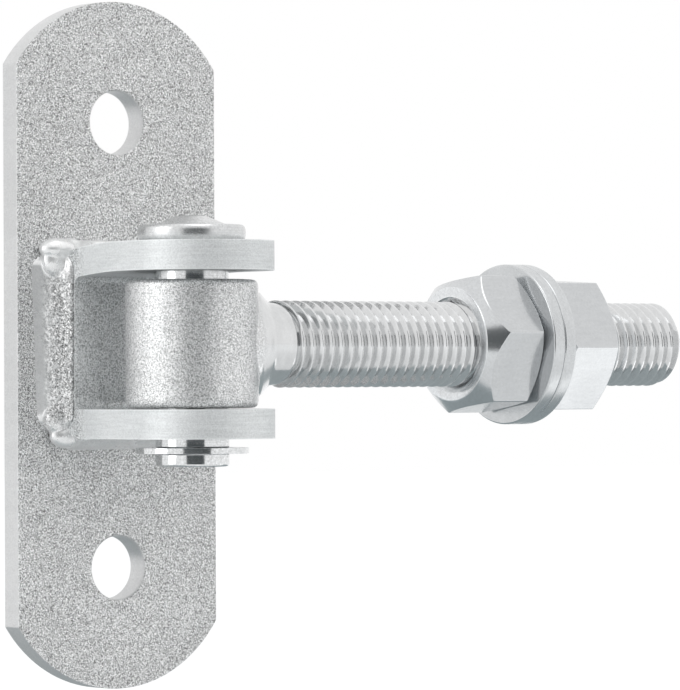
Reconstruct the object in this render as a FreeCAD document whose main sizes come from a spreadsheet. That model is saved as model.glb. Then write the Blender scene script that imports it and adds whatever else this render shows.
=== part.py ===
"""Adjustable gate hinge.

A wall plate carries a bent clevis, welded on all four sides. A loose pin with a flat head and a
snap ring joins the clevis to an eye bolt, and two nuts clamp the gate frame between two washers.
Millimetres. The origin is the middle of the plate's back face, X runs along the bolt, Y into the
post and Z along the pin, and the bolt is level with the middle of the plate.
"""
import FreeCAD, Part
import Sketcher
import math
import os
from collections import namedtuple
from types import SimpleNamespace

DIMENSIONS = {
    # wall plate, cut from flat bar with arched ends
    "plate_width": 50,
    "plate_height": 142,
    "plate_thickness": 5,
    "plate_end_radius": 30,
    "bolt_hole_diameter": 13,
    "bolt_hole_spacing": 92,
    "bolt_hole_edge": 0.5,
    # clevis, bent from flat bar
    "bar_width": 30,
    "bar_thickness": 6,
    "bend_radius": 2,
    "ear_overhang": 3,
    "pin_to_plate": 26,
    # weld beads round the clevis
    "weld_leg": 5,
    "weld_length": 37,
    "weld_face_radius": 7,
    "weld_root": 1.4,
    "weld_reach": 5,
    "weld_cap": 2.2,
    "weld_cap_radius": 9,
    # hinge pin and its snap ring
    "pin_diameter": 15,
    "pin_clearance": 0.08,
    "pin_chamfer": 0.6,
    "pin_tail": 2.6,
    "head_diameter": 22,
    "head_rim": 3.2,
    "head_boss_diameter": 14.6,
    "head_boss_top": 6.4,
    "head_boss_height": 1.9,
    "head_gap": 0.1,
    "groove_diameter": 12,
    "ring_diameter": 23,
    "ring_thickness": 1.2,
    "ring_drop": 1.8,
    "ring_clearance": 0.05,
    "ring_mouth": 10,
    "ring_notch_diameter": 5.2,
    "ring_notch_side": 5.2,
    "ring_notch_back": 3,
    # eye bolt
    "eye_diameter": 27,
    "eye_height": 26,
    "eye_edge": 1.2,
    "eye_gap": 0.2,
    "eye_play": 1.8,
    "collar_diameter": 22,
    "collar_reach": 19.4,
    "collar_slope": 2,
    "shank_diameter": 17,
    "thread_diameter": 18,
    "thread_clearance": 0.08,
    "thread_start": 20.4,
    "thread_lead": 0.8,
    "bolt_length": 126,
    "tip_diameter": 14,
    "tip_chamfer": 2.2,
    # nuts and washers
    "clamp_distance": 82,
    "washer_diameter": 34,
    "washer_clearance": 0.5,
    "washer_thickness": 3,
    "nut_across_flats": 27,
    "nut_height": 14.5,
    "nut_face_diameter": 25.6,
    "nut_countersink": 1,
    "inner_nut_turn": -9,
    "outer_nut_turn": 3,
    # room that a cutting outline takes beyond the metal that it removes
    "cut_margin": 1,
}

NUT_CHAMFER_SLOPE = math.tan(math.radians(30))
CORNER_PER_FLAT = 1 / math.sqrt(3)


class Size:
    """A length of the sheet, or a sum of such lengths, held as a value and as an expression."""

    def __init__(self, value, text):
        self.value = value
        self.text = text

    def joined(self, sign, other, value):
        return Size(value, f"({self.text} {sign} {as_size(other).text})")

    def __add__(self, other):
        return self.joined("+", other, self.value + as_size(other).value)

    def __sub__(self, other):
        return self.joined("-", other, self.value - as_size(other).value)

    def __mul__(self, other):
        return self.joined("*", other, self.value * as_size(other).value)

    def __truediv__(self, other):
        return self.joined("/", other, self.value / as_size(other).value)

    def __neg__(self):
        return self * -1


def as_size(number):
    return number if isinstance(number, Size) else Size(number, f"({number})")


def root(size):
    return Size(math.sqrt(size.value), f"sqrt{size.text}")


doc = FreeCAD.newDocument("gate_hinge")
sheet = doc.addObject("Spreadsheet::Sheet", "Sizes")
for row, (name, number) in enumerate(DIMENSIONS.items(), start=1):
    sheet.set(f"A{row}", name)
    sheet.set(f"B{row}", str(number))
    sheet.setAlias(f"B{row}", name)
doc.recompute()
s = SimpleNamespace(**{name: Size(number, f"Sizes.{name}") for name, number in DIMENSIONS.items()})

# Places that several pieces share
pin_y = -(s.plate_thickness + s.pin_to_plate)
plate_front = -s.plate_thickness
lower_ear_top = -(s.eye_height / 2 + s.eye_gap)
lower_ear_bottom = lower_ear_top - s.bar_thickness
ear_gap = s.eye_gap + s.eye_height + s.eye_play
upper_ear_top = lower_ear_top + ear_gap + s.bar_thickness
clevis_middle = lower_ear_top + ear_gap / 2
outer_bend = s.bend_radius + s.bar_thickness
pin_hole_radius = s.pin_diameter / 2 + s.pin_clearance
ring_top = lower_ear_bottom - s.ring_drop
ring_bottom = ring_top - s.ring_thickness
thread_radius = s.thread_diameter / 2

# An arc between two points of an outline: its radius, and 1 for a left turn or -1 for a right turn
Bend = namedtuple("Bend", "radius turn")
sub_parts = []


def new_body(label, x=None, y=None, z=None):
    """Start a sub-part whose own origin lies at x, y, z."""
    body = doc.addObject("PartDesign::Body", label)
    body.Label = label
    for axis, place in (("x", x), ("y", y), ("z", z)):
        if place is not None:
            body.setExpression(f"Placement.Base.{axis}", place.text)
    sub_parts.append(body)
    return body


def new_sketch(body, plane_role):
    sketch = body.newObject("Sketcher::SketchObject", f"{body.Label}_outline")
    plane = next(item for item in body.Origin.OriginFeatures if item.Role == plane_role)
    sketch.AttachmentSupport = [(plane, "")]
    sketch.MapMode = "FlatFace"
    return sketch


def bind(sketch, constraint, size):
    number = sketch.addConstraint(constraint)
    sketch.setExpression(f"Constraints[{number}]", size.text)


def hold_point(sketch, edge, end, x, y):
    """Fix a point at x, y from the sketch's origin; a plain 0 puts it on the axis."""
    for kind, axis, size in (("DistanceX", -2, x), ("DistanceY", -1, y)):
        if isinstance(size, Size):
            bind(sketch, Sketcher.Constraint(kind, -1, 1, edge, end, size.value), size)
        else:
            sketch.addConstraint(Sketcher.Constraint("PointOnObject", edge, end, axis))


def as_vector(point):
    return FreeCAD.Vector(as_size(point[0]).value, as_size(point[1]).value, 0)


def arc_between(start, end, bend):
    """The shorter arc from start to end, which a sketch always draws counter-clockwise."""
    chord = end - start
    radius = bend.radius.value
    rise = math.sqrt(max(radius**2 - (chord.Length / 2) ** 2, 0))
    left = FreeCAD.Vector(-chord.y, chord.x, 0).normalize()
    centre = (start + end) / 2 + left * rise * bend.turn
    first, last = (start, end) if bend.turn > 0 else (end, start)
    angles = [math.atan2(point.y - centre.y, point.x - centre.x) for point in (first, last)]
    if angles[1] < angles[0]:
        angles[1] += 2 * math.pi
    return Part.ArcOfCircle(Part.Circle(centre, FreeCAD.Vector(0, 0, 1), radius), *angles)


def outline(sketch, *steps):
    """Draw a closed loop of points in order, with a Bend after each point where an arc starts."""
    points = []
    bends = {}
    for step in steps:
        if isinstance(step, Bend):
            bends[len(points) - 1] = step
        else:
            points.append(step)
    edges = []
    for number, point in enumerate(points):
        start = as_vector(point)
        end = as_vector(points[(number + 1) % len(points)])
        if number in bends:
            bend = bends[number]
            edge = sketch.addGeometry(arc_between(start, end, bend), False)
            bind(sketch, Sketcher.Constraint("Radius", edge, bend.radius.value), bend.radius)
            edges.append((edge, 1, 2) if bend.turn > 0 else (edge, 2, 1))
        else:
            edge = sketch.addGeometry(Part.LineSegment(start, end), False)
            edges.append((edge, 1, 2))
    for number, (edge, head, _) in enumerate(edges):
        before, _, tail = edges[number - 1]
        sketch.addConstraint(Sketcher.Constraint("Coincident", before, tail, edge, head))
        hold_point(sketch, edge, head, *points[number])


def circle(sketch, radius, x=0, y=0):
    centre = as_vector((x, y))
    edge = sketch.addGeometry(Part.Circle(centre, FreeCAD.Vector(0, 0, 1), radius.value), False)
    bind(sketch, Sketcher.Constraint("Radius", edge, radius.value), radius)
    hold_point(sketch, edge, 3, x, y)


def pad(body, sketch, length, both_ways=False):
    feature = body.newObject("PartDesign::Pad", f"{body.Label}_pad")
    feature.Profile = sketch
    feature.setExpression("Length", length.text)
    feature.SideType = "Symmetric" if both_ways else "One side"


def cut_through(body, sketch):
    """Cut the outline right through the sub-part, to both sides of the sketch."""
    feature = body.newObject("PartDesign::Pocket", f"{body.Label}_cut")
    feature.Profile = sketch
    feature.Type = "ThroughAll"
    feature.SideType = "Symmetric"


def turn(body, sketch, axis, kind="Revolution"):
    """Turn the outline about the sketch's own H_Axis or V_Axis, as a lathe would."""
    feature = body.newObject(f"PartDesign::{kind}", f"{body.Label}_{kind.lower()}")
    feature.Profile = sketch
    feature.ReferenceAxis = (sketch, [axis])
    feature.Angle = 360


def chamfer(body, size, wanted):
    """Chamfer the edges for which wanted(point) holds all along."""
    doc.recompute()
    names = [
        f"Edge{number}"
        for number, edge in enumerate(body.Tip.Shape.Edges, start=1)
        if all(wanted(point) for point in edge.discretize(9))
    ]
    base = body.Tip
    feature = body.newObject("PartDesign::Chamfer", f"{body.Label}_chamfer")
    feature.Base = (base, names)
    feature.setExpression("Size", size.text)


def near(first, second):
    return abs(first - second) < 1e-4


def make_plate():
    body = new_body("mounting_plate")
    sketch = new_sketch(body, "XZ_Plane")
    half = s.plate_width / 2
    corner = s.plate_height / 2 - s.plate_end_radius + root(
        (s.plate_end_radius * s.plate_end_radius - half * half))
    arch = Bend(s.plate_end_radius, 1)
    outline(sketch, (half, -corner), (half, corner), arch, (-half, corner), (-half, -corner), arch)
    for side in (1, -1):
        circle(sketch, s.bolt_hole_diameter / 2, 0, s.bolt_hole_spacing / 2 * side)
    pad(body, sketch, s.plate_thickness)

    def on_front_rim(point):
        height = abs(point.z) - s.bolt_hole_spacing.value / 2
        return near(point.y, plate_front.value) and near(
            math.hypot(point.x, height), s.bolt_hole_diameter.value / 2)

    chamfer(body, s.bolt_hole_edge, on_front_rim)


def make_clevis():
    """Bend the bar round the eye, round off its ears and drill both for the pin."""
    body = new_body("clevis_bracket", y=plate_front, z=clevis_middle)
    sketch = new_sketch(body, "YZ_Plane")
    inside = ear_gap / 2
    outside = inside + s.bar_thickness
    round_centre = s.pin_to_plate + s.ear_overhang
    ear_end = -(round_centre + s.bar_width / 2)
    inner_start = -outer_bend
    outer_arc = Bend(outer_bend, -1)
    inner_arc = Bend(s.bend_radius, 1)
    outline(
        sketch,
        (ear_end, outside), (-outer_bend, outside), outer_arc,
        (0, outside - outer_bend), (0, outer_bend - outside), outer_arc,
        (-outer_bend, -outside), (ear_end, -outside), (ear_end, -inside),
        (inner_start, -inside), inner_arc,
        (-s.bar_thickness, s.bend_radius - inside), (-s.bar_thickness, inside - s.bend_radius),
        inner_arc, (inner_start, inside), (ear_end, inside),
    )
    pad(body, sketch, s.bar_width, both_ways=True)
    ends = new_sketch(body, "XY_Plane")
    half = s.bar_width / 2
    beyond = half + s.cut_margin
    far = ear_end - s.cut_margin
    quarter = Bend(half, -1)
    outline(
        ends,
        (half, -round_centre), quarter, (0, ear_end), quarter, (-half, -round_centre),
        (-beyond, -round_centre), (-beyond, far), (beyond, far), (beyond, -round_centre),
    )
    cut_through(body, ends)
    hole = new_sketch(body, "XY_Plane")
    circle(hole, pin_hole_radius, 0, -s.pin_to_plate)
    cut_through(body, hole)


def make_side_weld(label, side):
    """A fillet bead between the plate and one edge of the clevis."""
    body = new_body(label, y=plate_front, z=clevis_middle)
    sketch = new_sketch(body, "XY_Plane")
    edge = s.bar_width / 2 * side
    outline(
        sketch,
        (edge, 0), (edge + s.weld_leg * side, 0), Bend(s.weld_face_radius, -side),
        (edge, -s.weld_leg),
    )
    pad(body, sketch, s.weld_length, both_ways=True)


def make_bend_weld(label, side):
    """A bead in the groove between the plate and one bend of the clevis."""
    centre_height = ear_gap / 2 - s.bend_radius
    body = new_body(label, y=plate_front, z=clevis_middle + centre_height * side)
    sketch = new_sketch(body, "YZ_Plane")

    def height_at(depth):
        inward = outer_bend - depth
        return root((outer_bend * outer_bend - inward * inward)) * side

    outline(
        sketch,
        (0, height_at(s.weld_root)), (-s.weld_root, height_at(s.weld_root)), Bend(outer_bend, side),
        (-s.weld_reach, height_at(s.weld_reach)), Bend(s.weld_cap_radius, -side),
        (0, height_at(s.weld_reach) + s.weld_cap * side),
    )
    pad(body, sketch, s.bar_width, both_ways=True)


def make_pin():
    body = new_body("hinge_pin", y=pin_y)
    sketch = new_sketch(body, "XZ_Plane")
    radius = s.pin_diameter / 2
    groove = s.groove_diameter / 2
    groove_top = ring_top + s.ring_clearance
    groove_bottom = ring_bottom - s.ring_clearance
    tail = groove_bottom - s.pin_tail
    seat = upper_ear_top + s.head_gap
    head = s.head_diameter / 2
    rim = seat + s.head_rim
    boss = rim + s.head_boss_height
    outline(
        sketch,
        (0, tail), (radius - s.pin_chamfer, tail), (radius, tail + s.pin_chamfer),
        (radius, groove_bottom), (groove, groove_bottom), (groove, groove_top), (radius, groove_top),
        (radius, seat), (head, seat), (head, rim),
        (s.head_boss_diameter / 2, rim), (s.head_boss_top / 2, boss), (0, boss),
    )
    turn(body, sketch, "V_Axis")


def make_ring():
    """The snap ring: three lugs grip the groove, and the open side faces the plate."""
    body = new_body("retaining_ring", y=pin_y, z=ring_bottom)
    sketch = new_sketch(body, "XY_Plane")
    bore = s.groove_diameter / 2 + s.ring_clearance
    circle(sketch, s.ring_diameter / 2)
    circle(sketch, bore)
    pad(body, sketch, s.ring_thickness)
    mouth = new_sketch(body, "XY_Plane")
    half = s.ring_mouth / 2
    beyond = s.ring_diameter / 2 + s.cut_margin
    outline(mouth, (-half, 0), (half, 0), (half, beyond), (-half, beyond))
    cut_through(body, mouth)
    for side in (1, -1):
        notch = new_sketch(body, "XY_Plane")
        circle(notch, s.ring_notch_diameter / 2, s.ring_notch_side * side, -s.ring_notch_back)
        cut_through(body, notch)


def make_eye_bolt():
    """A forged eye with a long shank; the sloped collar ends in the same curve as the eye's wall."""
    body = new_body("eye_bolt", y=pin_y)
    eye = new_sketch(body, "XZ_Plane")
    radius = s.eye_diameter / 2
    half = s.eye_height / 2
    outline(
        eye,
        (0, -half), (radius - s.eye_edge, -half), (radius, s.eye_edge - half),
        (radius, half - s.eye_edge), (radius - s.eye_edge, half), (0, half),
    )
    turn(body, eye, "V_Axis")
    collar = new_sketch(body, "XZ_Plane")
    collar_radius = s.collar_diameter / 2
    slope_start = s.collar_reach - s.collar_slope
    slope_end = s.collar_reach + s.cut_margin
    outline(
        collar,
        (0, 0), (0, collar_radius), (slope_start, collar_radius),
        (slope_end, collar_radius - s.collar_slope - s.cut_margin), (slope_end, 0),
    )
    turn(body, collar, "H_Axis")
    trim = new_sketch(body, "XY_Plane")
    start = s.collar_reach - radius
    far = slope_end + s.cut_margin
    quarter = Bend(radius, -1)
    outline(
        trim,
        (start, radius), quarter, (s.collar_reach, 0), quarter, (start, -radius),
        (far, -radius), (far, radius),
    )
    cut_through(body, trim)
    shank = new_sketch(body, "XZ_Plane")
    shank_radius = s.shank_diameter / 2
    outline(
        shank,
        (0, 0), (0, shank_radius), (s.thread_start, shank_radius),
        (s.thread_start + s.thread_lead, thread_radius),
        (s.bolt_length - s.tip_chamfer, thread_radius), (s.bolt_length, s.tip_diameter / 2),
        (s.bolt_length, 0),
    )
    turn(body, shank, "H_Axis")
    bore = new_sketch(body, "XY_Plane")
    circle(bore, pin_hole_radius)
    cut_through(body, bore)


def make_washer(label, place):
    body = new_body(label, x=place, y=pin_y)
    sketch = new_sketch(body, "XZ_Plane")
    bore = thread_radius + s.washer_clearance
    rim = s.washer_diameter / 2
    outline(
        sketch, (0, bore), (s.washer_thickness, bore), (s.washer_thickness, rim), (0, rim))
    turn(body, sketch, "H_Axis")


def make_nut(label, place, turned):
    """A hexagon nut, chamfered and countersunk on both faces, turned on the bolt by some degrees."""
    body = new_body(label, x=place, y=pin_y)
    body.Placement.Rotation = FreeCAD.Rotation(FreeCAD.Vector(1, 0, 0), turned.value)
    body.setExpression("Placement.Rotation.Angle", turned.text)
    corner = s.nut_across_flats * CORNER_PER_FLAT
    flat = s.nut_across_flats / 2
    hexagon = new_sketch(body, "YZ_Plane")
    outline(
        hexagon,
        (corner, 0), (corner / 2, flat), (-corner / 2, flat),
        (-corner, 0), (-corner / 2, -flat), (corner / 2, -flat),
    )
    pad(body, hexagon, s.nut_height)
    lathe = new_sketch(body, "XZ_Plane")
    face = s.nut_face_diameter / 2
    beyond = corner + s.cut_margin
    depth = (beyond - face) * NUT_CHAMFER_SLOPE
    bore = thread_radius + s.thread_clearance
    mouth = bore + s.nut_countersink
    outline(lathe, (0, face), (0, beyond), (depth, beyond))
    outline(lathe, (s.nut_height, face), (s.nut_height - depth, beyond), (s.nut_height, beyond))
    outline(
        lathe,
        (0, 0), (0, mouth), (s.nut_countersink, bore), (s.nut_height - s.nut_countersink, bore),
        (s.nut_height, mouth), (s.nut_height, 0),
    )
    turn(body, lathe, "H_Axis", kind="Groove")


make_plate()
make_clevis()
make_side_weld("weld_bead_left", -1)
make_side_weld("weld_bead_right", 1)
make_bend_weld("weld_bead_top", 1)
make_bend_weld("weld_bead_bottom", -1)
make_pin()
make_ring()
make_eye_bolt()
make_nut("inner_nut", s.clamp_distance - s.nut_height, s.inner_nut_turn)
make_washer("inner_washer", s.clamp_distance)
make_washer("outer_washer", s.clamp_distance + s.washer_thickness)
make_nut("outer_nut", s.clamp_distance + s.washer_thickness * 2, s.outer_nut_turn)
doc.recompute()

for item in doc.Objects:
    if "Invalid" in item.State or "Error" in item.State:
        raise RuntimeError(f"{item.Label} failed to build")
for body in sub_parts:
    if body.Shape.isNull() or not body.Shape.isValid():
        raise RuntimeError(f"{body.Label} has no valid solid")

os.makedirs("parts", exist_ok=True)
for body in sub_parts:
    body.Shape.exportStep(f"parts/{body.Label}.step")
    box = body.Shape.BoundBox
    corners = [round(value, 2) for value in (box.XMin, box.YMin, box.ZMin, box.XMax, box.YMax, box.ZMax)]
    print(body.Label, len(body.Shape.Solids), "solid", round(body.Shape.Volume, 1), "mm3", corners)
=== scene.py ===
# %% [markdown]
# # An adjustable gate hinge in bright zinc
# The hinge bolts to a post by its plate. An eye bolt swings on a pin between the two ears of a
# bent bracket, and two nuts with washers clamp the gate's frame anywhere along the thread. Each
# step of this lesson models one piece over its CAD solid and then gives it its plated finish.

# %% Load the hinge's frame
import math

import bpy
from mathutils import Matrix, Vector, noise


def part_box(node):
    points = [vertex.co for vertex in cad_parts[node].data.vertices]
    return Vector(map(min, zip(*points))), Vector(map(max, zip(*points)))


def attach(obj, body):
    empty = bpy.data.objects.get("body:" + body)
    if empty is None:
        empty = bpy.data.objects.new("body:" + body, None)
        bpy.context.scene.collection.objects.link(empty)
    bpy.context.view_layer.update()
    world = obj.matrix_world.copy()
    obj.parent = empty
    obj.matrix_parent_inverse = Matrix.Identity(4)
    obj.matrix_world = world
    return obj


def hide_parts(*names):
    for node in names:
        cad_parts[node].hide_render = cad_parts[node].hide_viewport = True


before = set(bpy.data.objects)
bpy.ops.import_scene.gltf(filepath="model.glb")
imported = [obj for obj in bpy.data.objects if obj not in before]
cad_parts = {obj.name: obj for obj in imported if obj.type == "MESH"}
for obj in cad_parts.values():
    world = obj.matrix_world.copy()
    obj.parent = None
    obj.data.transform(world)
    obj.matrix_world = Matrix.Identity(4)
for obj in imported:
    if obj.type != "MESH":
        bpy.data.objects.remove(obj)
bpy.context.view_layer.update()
MM = 0.001

# %% [markdown]
# ## Camera
# The plate is seen from its left at about 38 degrees and almost level, through a long lens, so
# lines that are parallel on the hinge stay nearly parallel. The camera is built from those angles
# rather than tracked to a target, because a target would hide the small roll.

# %% Set the camera
VIEW_TURN = math.radians(-37.826)
VIEW_RISE = math.radians(-0.443)
VIEW_ROLL = math.radians(-0.268)
VIEW_DISTANCE = 1.0384
VIEW_SIDESTEP = 0.049013
VIEW_CLIMB = 0.00006
LENS_LENGTH = 264.84
backwards = Vector((
    math.sin(VIEW_TURN) * math.cos(VIEW_RISE),
    -math.cos(VIEW_TURN) * math.cos(VIEW_RISE),
    math.sin(VIEW_RISE),
))
level_right = Vector((math.cos(VIEW_TURN), math.sin(VIEW_TURN), 0))
roll = Matrix.Rotation(VIEW_ROLL, 3, backwards)
to_right = roll @ level_right
to_top = roll @ backwards.cross(level_right)
spot = backwards * VIEW_DISTANCE + to_right * VIEW_SIDESTEP + to_top * VIEW_CLIMB
bpy.ops.object.camera_add()
camera = bpy.context.object
camera.name = "hinge_camera"
turned = Matrix((to_right, to_top, backwards)).transposed().to_4x4()
camera.matrix_world = Matrix.Translation(spot) @ turned
camera.data.sensor_fit = "HORIZONTAL"
camera.data.sensor_width = 36
camera.data.lens = LENS_LENGTH
bpy.context.scene.camera = camera
bpy.context.scene.view_settings.view_transform = "Standard"
print("camera at", [round(value, 4) for value in spot])

# %% [markdown]
# ## Studio
# Bright zinc shows its surroundings more than its own colour. The hinge hangs in a white studio,
# over a pale floor that lies well below it. Soft lights stand at its left and above it, and a
# small one low at its right shows only as a shine on the nuts. A dark screen on the camera's side
# gives the pin and the eye their dark middle, and one below the rod shades the lower flanks of
# the thread.

# %% White surroundings
ROOM_LIGHT = 0.86


def new_material(name):
    material = bpy.data.materials.new(name)
    material.use_nodes = True
    material.node_tree.nodes.clear()
    return material, material.node_tree.nodes, material.node_tree.links


def map_range(tree, value, start_and_end=(0, 1), low_and_high=(0, 1)):
    """Lead a value that runs from start to end over to one that runs from low to high."""
    ramp = tree.nodes.new("ShaderNodeMapRange")
    labels = ("From Min", "From Max", "To Min", "To Max")
    for label, setting in zip(labels, (*start_and_end, *low_and_high)):
        ramp.inputs[label].default_value = setting
    tree.links.new(value, ramp.inputs["Value"])
    return ramp.outputs["Result"]


def seen_white(tree, unseen_and_seen):
    """A strength with its second value for camera, glossy and transmission rays."""
    nodes, links = tree.nodes, tree.links
    ray = nodes.new("ShaderNodeLightPath").outputs
    seen = ray["Is Camera Ray"]
    for other in ("Is Glossy Ray", "Is Transmission Ray"):
        either = nodes.new("ShaderNodeMath")
        either.operation = "MAXIMUM"
        links.new(seen, either.inputs[0])
        links.new(ray[other], either.inputs[1])
        seen = either.outputs[0]
    return map_range(tree, seen, low_and_high=unseen_and_seen)


world = bpy.data.worlds.new("white_studio")
bpy.context.scene.world = world
world.use_nodes = True
nodes, links = world.node_tree.nodes, world.node_tree.links
nodes.clear()
white = nodes.new("ShaderNodeBackground")
white.inputs["Color"].default_value = (1, 1, 1, 1)
links.new(seen_white(world.node_tree, (ROOM_LIGHT, 1)), white.inputs["Strength"])
links.new(white.outputs[0], nodes.new("ShaderNodeOutputWorld").inputs["Surface"])
print("white studio set")

# %% Floor
# The floor's glow is weaker near the hinge than far off: a painted darker patch below it.
FLOOR_HEIGHT = -0.16
FLOOR_SHADE = (0.56, 0.57, 0.575, 1)
FLOOR_NEAR_AND_FAR = (0.25, 0.9)
FLOOR_LIFTS_DIMMED_NEAR = (0.36, 0.55)
bpy.ops.mesh.primitive_plane_add(size=12, location=(0, 0, FLOOR_HEIGHT))
floor = bpy.context.object
floor.name = "studio_floor"
material, nodes, links = new_material("pale_floor")
matt = nodes.new("ShaderNodeBsdfDiffuse")
matt.inputs["Color"].default_value = FLOOR_SHADE
glow = nodes.new("ShaderNodeEmission")
place = nodes.new("ShaderNodeTexCoord").outputs["Object"]
distance = nodes.new("ShaderNodeVectorMath")
distance.operation = "LENGTH"
links.new(place, distance.inputs[0])
lift = map_range(
    material.node_tree, distance.outputs["Value"], FLOOR_NEAR_AND_FAR, FLOOR_LIFTS_DIMMED_NEAR)
lifted = nodes.new("ShaderNodeMath")
lifted.operation = "MULTIPLY"
links.new(lift, lifted.inputs[0])
links.new(seen_white(material.node_tree, (0, 1)), lifted.inputs[1])
links.new(lifted.outputs[0], glow.inputs["Strength"])
both = nodes.new("ShaderNodeAddShader")
links.new(matt.outputs[0], both.inputs[0])
links.new(glow.outputs[0], both.inputs[1])
links.new(both.outputs[0], nodes.new("ShaderNodeOutputMaterial").inputs["Surface"])
floor.data.materials.append(material)
print("floor lies", -FLOOR_HEIGHT / MM, "mm below the hinge's middle")

# %% Dark screens
SCREEN_DISTANCE = 0.95
SCREEN_TURN = math.radians(12)
SCREEN_RISE = Vector((0, 0, 0.06))
LOW_SCREEN_PLACE = (0.16, 0.14, -0.15)


def face_hinge(thing, place):
    """Put a screen or lamp at a place, with its back away from the hinge."""
    thing.location = place
    thing.rotation_mode = "QUATERNION"
    thing.rotation_quaternion = Vector(place).to_track_quat("Z", "Y")


def dark_screen(name, width, height, shade):
    """A cloth that only shows in the reflections of bright metal."""
    bpy.ops.mesh.primitive_plane_add(size=1)
    screen = bpy.context.object
    screen.name = name
    screen.scale = (width, height, 1)
    material, nodes, links = new_material(name + "_cloth")
    matt = nodes.new("ShaderNodeBsdfDiffuse")
    matt.inputs["Color"].default_value = (*shade, 1)
    links.new(matt.outputs[0], nodes.new("ShaderNodeOutputMaterial").inputs["Surface"])
    screen.data.materials.append(material)
    for ray_kind in (
            "visible_camera", "visible_diffuse", "visible_shadow", "visible_transmission"):
        setattr(screen, ray_kind, False)
    return screen


front_screen = dark_screen("front_screen", 1.0, 0.74, (0.07, 0.08, 0.085))
towards_screen = Matrix.Rotation(SCREEN_TURN, 3, "Z") @ backwards + SCREEN_RISE
face_hinge(front_screen, towards_screen * SCREEN_DISTANCE)
low_screen = dark_screen("low_screen", 0.6, 0.42, (0.35, 0.40, 0.415))
low_screen.location = LOW_SCREEN_PLACE
print("dark screens:", front_screen.name, "and", low_screen.name)

# %% Soft lamps
def soft_lamp(name, place, size, power, only_mirrored=False):
    """A softbox that faces the hinge and that the camera does not see."""
    bpy.ops.object.light_add(type="AREA")
    lamp = bpy.context.object
    lamp.name = name
    lamp.data.shape = "RECTANGLE"
    lamp.data.size, lamp.data.size_y = size
    lamp.data.energy = power
    lamp.visible_camera = False
    lamp.visible_diffuse = not only_mirrored
    face_hinge(lamp, place)
    print(name, "shines at", power, "W")


soft_lamp("left_softbox", (-1.5, 0.3, 0.45), (0.8, 1.1), 4.5)
soft_lamp("top_softbox", (0.1, -0.3, 1.5), (0.9, 0.7), 2.3)
soft_lamp("low_right_softbox", (0.215, -0.105, -0.146), (0.06, 0.1), 0.011, only_mirrored=True)

# %% [markdown]
# ## Modelling helpers
# Every piece is made the same way: a primitive, edit-mode operators on what is selected by place,
# then modifiers that are applied. These few helpers keep the later cells short. Metal parts have
# no truly sharp edge, so each one ends with a small bevel whose shading keeps its flats flat.

# %% Start a piece and select by place
NEAR = 0.1 * MM


def new_piece(name, add, stretch=(1, 1, 1), **size):
    """Add a primitive as a named piece, with its place in its mesh."""
    bpy.ops.object.select_all(action="DESELECT")
    add(**size)
    piece = bpy.context.object
    piece.name = piece.data.name = name
    piece.scale = stretch
    bpy.ops.object.transform_apply(location=True, rotation=True, scale=True)
    return piece


def make_active(piece):
    bpy.ops.object.select_all(action="DESELECT")
    piece.select_set(True)
    bpy.context.view_layer.objects.active = piece


def leave_edit():
    bpy.ops.object.mode_set(mode="OBJECT")


def select(piece, part, wanted):
    """Enter edit mode with those vertices, edges or faces selected whose points are wanted."""
    make_active(piece)
    bpy.ops.object.mode_set(mode="EDIT")
    bpy.ops.mesh.select_mode(type=part)
    bpy.ops.mesh.select_all(action="DESELECT")
    leave_edit()
    mesh = piece.data
    if part == "VERT":
        for vertex in mesh.vertices:
            vertex.select = wanted(vertex.co)
    else:
        for item in mesh.edges if part == "EDGE" else mesh.polygons:
            item.select = wanted(*(mesh.vertices[number].co for number in item.vertices))
    bpy.ops.object.mode_set(mode="EDIT")


def edit_all(piece):
    """Enter edit mode with the whole piece selected."""
    make_active(piece)
    bpy.ops.object.mode_set(mode="EDIT")
    bpy.ops.mesh.select_all(action="SELECT")


print("pieces can be started and selected")

# %% Clean, cut, combine and round
def volume(piece):
    """The signed volume inside the faces, which is negative where they point inwards."""
    mesh = piece.data
    mesh.calc_loop_triangles()
    points = [vertex.co for vertex in mesh.vertices]
    corners = [[points[number] for number in face.vertices] for face in mesh.loop_triangles]
    return sum(a.dot(b.cross(c)) for a, b, c in corners) / 6


def clean(piece):
    """Merge doubles and turn every face outwards."""
    edit_all(piece)
    bpy.ops.mesh.remove_doubles(threshold=0.001 * MM)
    bpy.ops.mesh.normals_make_consistent(inside=False)
    leave_edit()
    if volume(piece) < 0:
        edit_all(piece)
        bpy.ops.mesh.flip_normals()
        leave_edit()


def saw_off(piece, place, outwards):
    """Cut away what lies beyond a plane and close the cut."""
    edit_all(piece)
    bpy.ops.mesh.bisect(
        plane_co=place, plane_no=outwards, use_fill=True, clear_outer=True, threshold=0.0001 * MM)
    leave_edit()


def apply_modifier(piece, kind, **settings):
    """Make a piece active, give it a modifier and apply it."""
    modifier = piece.modifiers.new(kind.lower(), kind)
    for setting, value in settings.items():
        setattr(modifier, setting, value)
    make_active(piece)
    bpy.ops.object.modifier_apply(modifier=modifier.name)


def combine(piece, tool, operation):
    """Join, cut or trim a piece by a tool, which is used up."""
    apply_modifier(piece, "BOOLEAN", object=tool, operation=operation, solver="EXACT")
    bpy.data.objects.remove(tool)


def round_edges(piece, width, angle=30):
    """Bevel every edge that turns by more than an angle, and keep the flats' shading flat."""
    apply_modifier(
        piece, "BEVEL", width=width, segments=3, limit_method="ANGLE",
        angle_limit=math.radians(angle), miter_outer="MITER_ARC",
    )
    bpy.ops.object.shade_smooth_by_angle(angle=math.radians(40))
    apply_modifier(piece, "WEIGHTED_NORMAL", keep_sharp=True)


print("pieces can be cut and rounded")

# %% Turn on a lathe and hand over
ALONG_X = Vector((1, 0, 0))
ALONG_Y = Vector((0, 1, 0))
ALONG_Z = Vector((0, 0, 1))


def extrude(step):
    bpy.ops.mesh.extrude_region_move(TRANSFORM_OT_translate={"value": step})


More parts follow.
